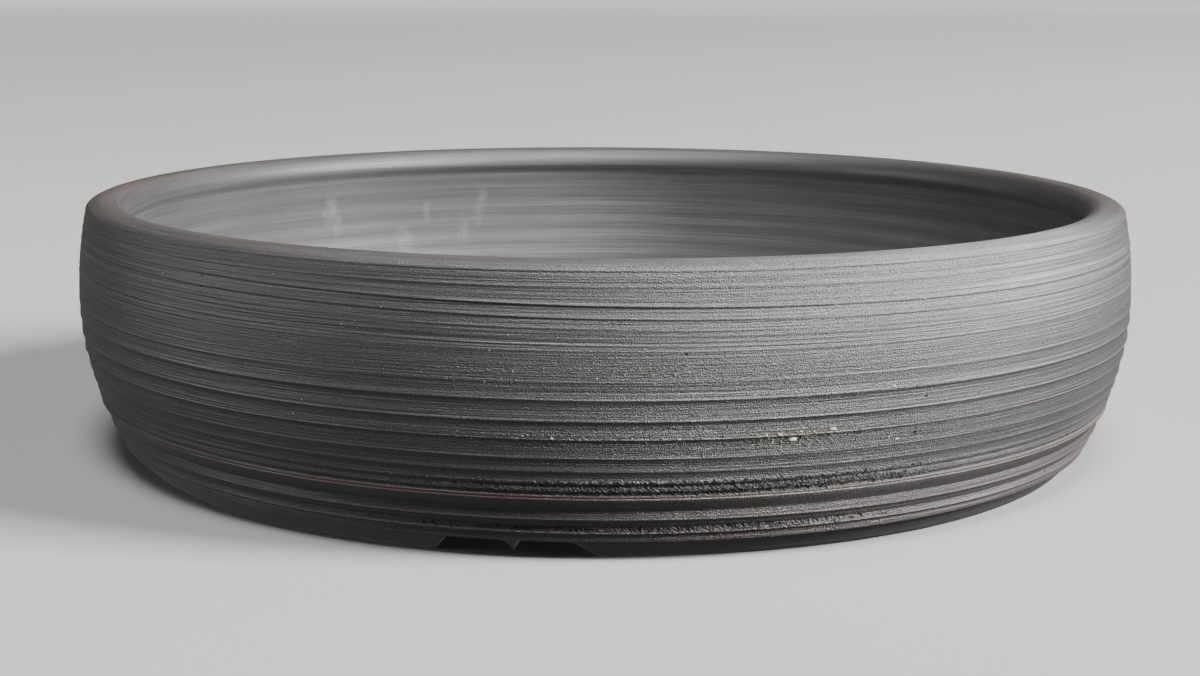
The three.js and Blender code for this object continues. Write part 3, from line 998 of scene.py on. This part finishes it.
def lime_patches(tree, place):
    """How thick the limescale lies at a place inside the pot: blots that ran a little way down."""
    wobble = grain_pattern(tree, place, (3, 3, 3), -0.5, 0.5, 4)
    speckle = grain_pattern(tree, place, (0.9, 0.9, 1.6), 0.25, 1, 3)
    total = 0.0
    for angle, height, size in LIMESCALE:
        radius = inner_wall(height)
        turn = math.radians(angle)
        middle = Vector((radius * math.sin(turn), radius * math.cos(turn), height)) * MM
        blot = Vector((1, 1, 0.48)) / (size * MM)
        away = add_node(tree, "VectorMath", {0: place, 1: middle}, operation="SUBTRACT")
        in_blots = add_node(tree, "VectorMath", {0: away, 1: blot}, operation="MULTIPLY")
        length = add_node(tree, "VectorMath", {0: in_blots}, out="Value", operation="LENGTH")
        edge = add_node(tree, "Math", {0: length, 1: wobble}, operation="ADD")
        lime = add_node(tree, "MapRange", {"Value": edge, "From Max": 1.15, "To Min": 1, "To Max": 0})
        total = add_node(tree, "Math", {0: total, 1: lime}, operation="MAXIMUM")
    return add_node(tree, "Math", {0: total, 1: speckle}, operation="MULTIPLY")


def clay_tone(tree, clay, tones):
    """The clay's own tones, and over them the film, which also carries painted light and a painted
    highlight, the fire's flashes and straw-coloured grog.
    """
    banded = add_node(tree, "Math", {0: clay["broad_lines"], 1: 0.5}, operation="MULTIPLY")
    clinging = add_node(tree, "MapRange", {"Value": clay["lines"], "To Min": 0.75, "To Max": 1.2})
    # The film's share also holds painted light inside and a painted highlight on the upper wall
    film_and_light = add_node(tree, "Math", {0: clay["film_and_painted_light"], 1: clinging}, operation="MULTIPLY", use_clamp=True)
    straw = add_node(tree, "MapRange", {"Value": clay["grit"], "From Min": 0.6, "To Max": 0.5})
    straw = add_node(tree, "Math", {0: straw, 1: clay["sandy"]}, operation="MULTIPLY")
    tone = linear(tones[0])
    shares = (clay["clouds"], banded, film_and_light, clay["flashed"], straw)
    for share, over in zip(shares, (tones[1], tones[2], FILM_AND_HIGHLIGHT_TONE, FLASH_TONE, GROG_TONE)):
        tone = add_node(tree, "Mix", {0: share, 6: tone, 7: linear(over)}, 2, data_type="RGBA")
    return tone


def clay_shade(tree, clay):
    """How light the clay is: by lines and grit, with painted shade in the tears' hollows and painted
    light on their strokes, a painted highlight on crests and the near lip, and darker on the
    rubbed inner roll of the lip.
    """
    shade, sand, tear_light_and_shade = [
        add_node(tree, "MapRange", {"Value": clay[pattern], "To Min": low, "To Max": high})
        for pattern, low, high in (("lines", 0.81, 1.15), ("grit", 0.36, 1.8), ("tears", 0.15, 1.8))
    ]
    gritty = add_node(tree, "Mix", {0: clay["sandy"], 2: 1, 3: sand})
    # Painted shade in the tears' hollows and painted light on their raised strokes
    torn = add_node(tree, "Mix", {0: clay["torn"], 2: 1, 3: tear_light_and_shade})
    # Painted highlight on the crests and the near lip
    crest_highlight = add_node(tree, "Math", {0: clay["crest_highlight"], 1: 0.9, 2: 1}, operation="MULTIPLY_ADD")
    dulled = add_node(tree, "Math", {0: clay["rubbed"], 1: -0.28, 2: 1}, operation="MULTIPLY_ADD")
    for factor in (gritty, torn, crest_highlight, dulled):
        shade = add_node(tree, "Math", {0: shade, 1: factor}, operation="MULTIPLY")
    return shade


def clay_relief(tree, clay, smooth):
    """Relief of the grit, the lines and the tears, each on top of the one before. The lines are
    calmer where the clay is smooth."""
    calm = add_node(tree, "MapRange", {"Value": smooth, "To Min": 1, "To Max": 0.25})
    reliefs = ("grit", clay["sandy"], 0.17), ("lines", calm, 0.1), ("tears", clay["torn"], 0.34)
    under = {}
    for pattern, share, relief in reliefs:
        raised = add_node(tree, "Math", {0: clay[pattern], 1: share}, operation="MULTIPLY")
        skin = add_node(tree, "Bump", {"Height": raised, "Distance": relief * MM, **under})
        under = {"Normal": skin}
    return skin


def turned_stoneware(name, tones, limed):
    """Stoneware with fine grog, turned, trimmed when leather hard and reduction fired bare.

    The eye sees a dry dark grey with the tool's fine lines, a sandy grain where grog stands out,
    and a dull satin sheen where the tool pressed the clay smooth."""
    material, tree, shader, place = new_material(name)
    height = add_node(tree, "SeparateXYZ", {0: place}, "Z")
    slant = add_node(tree, "Math", {0: height, 1: TEAR_SLANT}, operation="MULTIPLY")
    slanted = add_node(tree, "VectorRotate", {"Vector": place, "Angle": slant}, rotation_type="Z_AXIS")
    clay = {
        "grit": grain_pattern(tree, place, GRIT_SIZE, detail=1),
        "lines": grain_pattern(tree, place, LINE_SIZE),
        "broad_lines": grain_pattern(tree, place, BROAD_LINE_SIZE),
        "clouds": grain_pattern(tree, place, CLOUD_SIZE, detail=3),
        "tears": grain_pattern(tree, slanted, TEAR_SIZE, detail=0),
    }
    for kept in ("inside", "film_and_painted_light", "torn", "flashed", "rubbed", "crest_highlight", "sandy"):
        clay[kept] = add_node(tree, "Attribute", out="Fac", attribute_name=kept)
    tone, shade = clay_tone(tree, clay, tones), clay_shade(tree, clay)
    tone = add_node(tree, "VectorMath", {0: tone, "Scale": shade}, operation="SCALE")
    if limed:
        streaked = add_node(tree, "Attribute", out="Fac", attribute_name="streaked")
        streak = add_node(tree, "Math", {0: streaked, 1: clay["grit"]}, operation="MULTIPLY")
        lime = add_node(tree, "Math", {0: lime_patches(tree, place), 1: streak}, operation="MAXIMUM")
        lime = add_node(tree, "Math", {0: lime, 1: 0.34}, operation="MULTIPLY")
        tone = add_node(tree, "Mix", {0: lime, 6: tone, 7: linear(LIME_TONE)}, 2, data_type="RGBA")

    # Glossy where the tool pressed, duller where the clay is torn, thrown or rubbed
    smooth = add_node(tree, "Math", {0: clay["inside"], 1: clay["rubbed"]}, operation="MAXIMUM")
    rough = add_node(tree, "MapRange", {"Value": clay["broad_lines"], "To Min": 0.3, "To Max": 0.4})
    rough = add_node(tree, "Math", {0: clay["torn"], 1: 0.2, 2: rough}, operation="MULTIPLY_ADD")
    rough = add_node(tree, "Math", {0: smooth, 1: 0.18, 2: rough}, operation="MULTIPLY_ADD")
    sheen = {"Roughness": rough, "Specular IOR Level": 0.9}
    skin = clay_relief(tree, clay, smooth)
    set_inputs(tree, shader, {"Base Color": tone, "Normal": skin, **sheen})
    return material


def mottle(tree, shader, share, tones, rough, pattern, relief):
    """Colours a surface between two tones, and raises a pattern on it by so many millimetres."""
    low, high = (linear(tone) for tone in tones)
    tone = add_node(tree, "Mix", {0: share, 6: low, 7: high}, 2, data_type="RGBA")
    skin = add_node(tree, "Bump", {"Height": pattern, "Distance": relief * MM})
    set_inputs(tree, shader, {"Base Color": tone, "Roughness": rough, "Normal": skin})


def fired_grain(name, tones, roughness):
    """A bit of hard-fired clay or iron: broken faces, no two quite alike in tone."""
    material, tree, shader, place = new_material(name)
    patches = grain_pattern(tree, place, (2, 2, 2))
    pits = grain_pattern(tree, place, (0.3, 0.3, 0.3))
    mottle(tree, shader, patches, tones, roughness, pits, 0.05)
    return material


def extruded_polyethylene():
    """Black garden netting: soft plastic with a waxy sheen, drawn a little unevenly, dulled by dust."""
    material, tree, shader, place = new_material("extruded_polyethylene")
    dust = grain_pattern(tree, place, (6, 6, 6), detail=4)
    share = add_node(tree, "Math", {0: dust, 1: 0.5}, operation="MULTIPLY")
    rough = add_node(tree, "MapRange", {"Value": dust, "To Min": 0.38, "To Max": 0.62})
    swells = grain_pattern(tree, place, (1.4, 1.4, 1.4))
    mottle(tree, shader, share, ("#17191A", "#3A3D3D"), rough, swells, 0.08)
    return material


def drawn_aluminium():
    """Soft aluminium wire, drawn through a die: bright, with a dull oxide and nicks from the pliers."""
    material, tree, shader, place = new_material("drawn_aluminium")
    oxide = grain_pattern(tree, place, (2.5, 2.5, 2.5), detail=4)
    rough = add_node(tree, "MapRange", {"Value": oxide, "To Min": 0.26, "To Max": 0.46})
    nicks = grain_pattern(tree, place, (0.5, 0.5, 0.5))
    mottle(tree, shader, oxide, ("#C9CBCD", "#A4A6A8"), rough, nicks, 0.03)
    shader.inputs["Metallic"].default_value = 1
    return material


def matt_paper():
    """Backdrop paper: matt, pale and even, with a faint tooth. Far off, where the lamps no longer
    reach, it is held as pale as it is near the pot."""
    material, tree, shader, place = new_material("matt_paper")
    away = add_node(tree, "VectorMath", {0: place}, "Value", operation="LENGTH")
    held = add_node(tree, "MapRange", {"Value": away, "From Min": 1.2, "From Max": 8, "To Max": 0.8})
    set_inputs(tree, shader, {"Emission Color": linear("#F4F3F1"), "Emission Strength": held})
    material.cycles.emission_sampling = "NONE"
    tooth = grain_pattern(tree, place, (1.5, 1.5, 1.5))
    skin = add_node(tree, "Bump", {"Height": tooth, "Strength": 0.3, "Distance": 0.05 * MM})
    set_inputs(tree, shader, {"Base Color": linear("#C4C3C1"), "Roughness": 0.95, "Normal": skin})
    return material


# Camera, floor and light

# Sizes in metres
FLOOR_SIDE = 80
LAMP_SIDE = 2
LAMP_DISTANCE = 6
AIM_HEIGHT = 0.04

# Strength of the light that the floor throws back, and of the room's own
GLOW_BELOW = 0.165
GLOW_ABOVE = 0.02


def place_camera():
    """The photograph's view: from in front, a little above the rim."""
    distance, height = 578.2, 133.5
    yaw, pitch, roll = -0.134, -10.47, 0.286
    camera = bpy.data.objects.new("camera", bpy.data.cameras.new("camera"))
    bpy.context.collection.objects.link(camera)
    camera.data.lens = 59.48
    camera.data.clip_start = 0.01
    camera.data.clip_end = 20
    turns = ((-yaw, "Z"), (90 + pitch, "X"), (roll, "Z"))
    rotation = Matrix.Identity(4)
    for degrees, axis in turns:
        rotation = rotation @ Matrix.Rotation(math.radians(degrees), 4, axis)
    camera.matrix_world = Matrix.Translation((0, -distance * MM, height * MM)) @ rotation
    bpy.context.scene.camera = camera


def lay_floor():
    """A plain pale floor. It takes the pot's shadow, and throws no light up at it."""
    bpy.ops.mesh.primitive_plane_add(size=FLOOR_SIDE)
    floor = bpy.context.active_object
    floor.name = "floor"
    floor.data.materials.append(matt_paper())
    floor.visible_diffuse = False
    floor.visible_glossy = False


def hang_light(name, azimuth, elevation, power):
    """A soft square light. Azimuth is in degrees from the front, to the right."""
    lamp = bpy.data.lights.new(name, "AREA")
    lamp.size = LAMP_SIDE
    lamp.energy = power
    light = bpy.data.objects.new(name, lamp)
    bpy.context.collection.objects.link(light)
    turn, rise = math.radians(azimuth), math.radians(elevation)
    aim = Vector((math.sin(turn) * math.cos(rise), -math.cos(turn) * math.cos(rise), math.sin(rise)))
    light.location = aim * LAMP_DISTANCE + Vector((0, 0, AIM_HEIGHT))
    light.rotation_euler = aim.to_track_quat("Z", "Y").to_euler()


def light_studio():
    """A large soft light from the right, a weaker one overhead, and a little light thrown back from
    the left and from the floor."""
    world = bpy.data.worlds.new("studio")
    world.use_nodes = True
    tree = world.node_tree
    direction = add_node(tree, "TexCoord", out="Generated")
    up = add_node(tree, "SeparateXYZ", {0: direction}, out="Z")
    horizon = {"From Min": -0.01, "From Max": 0.01, "To Min": GLOW_BELOW, "To Max": GLOW_ABOVE}
    sky = add_node(tree, "MapRange", {"Value": up, **horizon})
    set_inputs(tree, tree.nodes["Background"], {"Color": linear("#F0F2F4"), "Strength": sky})
    bpy.context.scene.world = world
    hang_light("key", 74, 30, 930)
    hang_light("overhead", 0, 65, 270)
    hang_light("reflector", -85, 12, 56)


place_camera()
lay_floor()
light_studio()

stoneware = turned_stoneware("turned_unglazed_stoneware", ("#565554", "#606061", "#5C5753"), True)
foot_clay = turned_stoneware("wiped_unglazed_stoneware", ("#565354", "#605D5E", "#5C5558"), False)
grog = fired_grain("fired_clay_grog", ("#4E4E49", "#A19E88"), 0.7)
burr_clay = fired_grain("torn_fired_clay", ("#4A4846", "#646260"), 0.6)
pale_grog = fired_grain("fireclay_grog", ("#D8CDA6", "#E9E6DA"), 0.6)
iron = fired_grain("melted_iron", ("#1A1715", "#2A2523"), 0.35)
net_plastic = extruded_polyethylene()
wire_metal = drawn_aluminium()

show_as(make_bowl(), stoneware, "stoneware", "pot_body")
for node, foot in make_feet().items():
    show_as(foot, foot_clay, "stoneware", node)
show_as(make_grog(), grog, "stoneware")
show_as(make_burrs(), burr_clay, "stoneware")
show_as(make_pale_grains(), pale_grog, "stoneware")
show_as(make_iron_specks(), iron, "stoneware")
for index, net in enumerate(fit_at_drains(make_screen("net"), "plastic_net", 0), 1):
    show_as(net, net_plastic, "mesh_plastic", "drain_screen_%d" % index)
for index, clip in enumerate(fit_at_drains(make_clip("clip"), "wire_clip", 90), 1):
    show_as(clip, wire_metal, "aluminium_wire", "screen_clip_%d" % index)
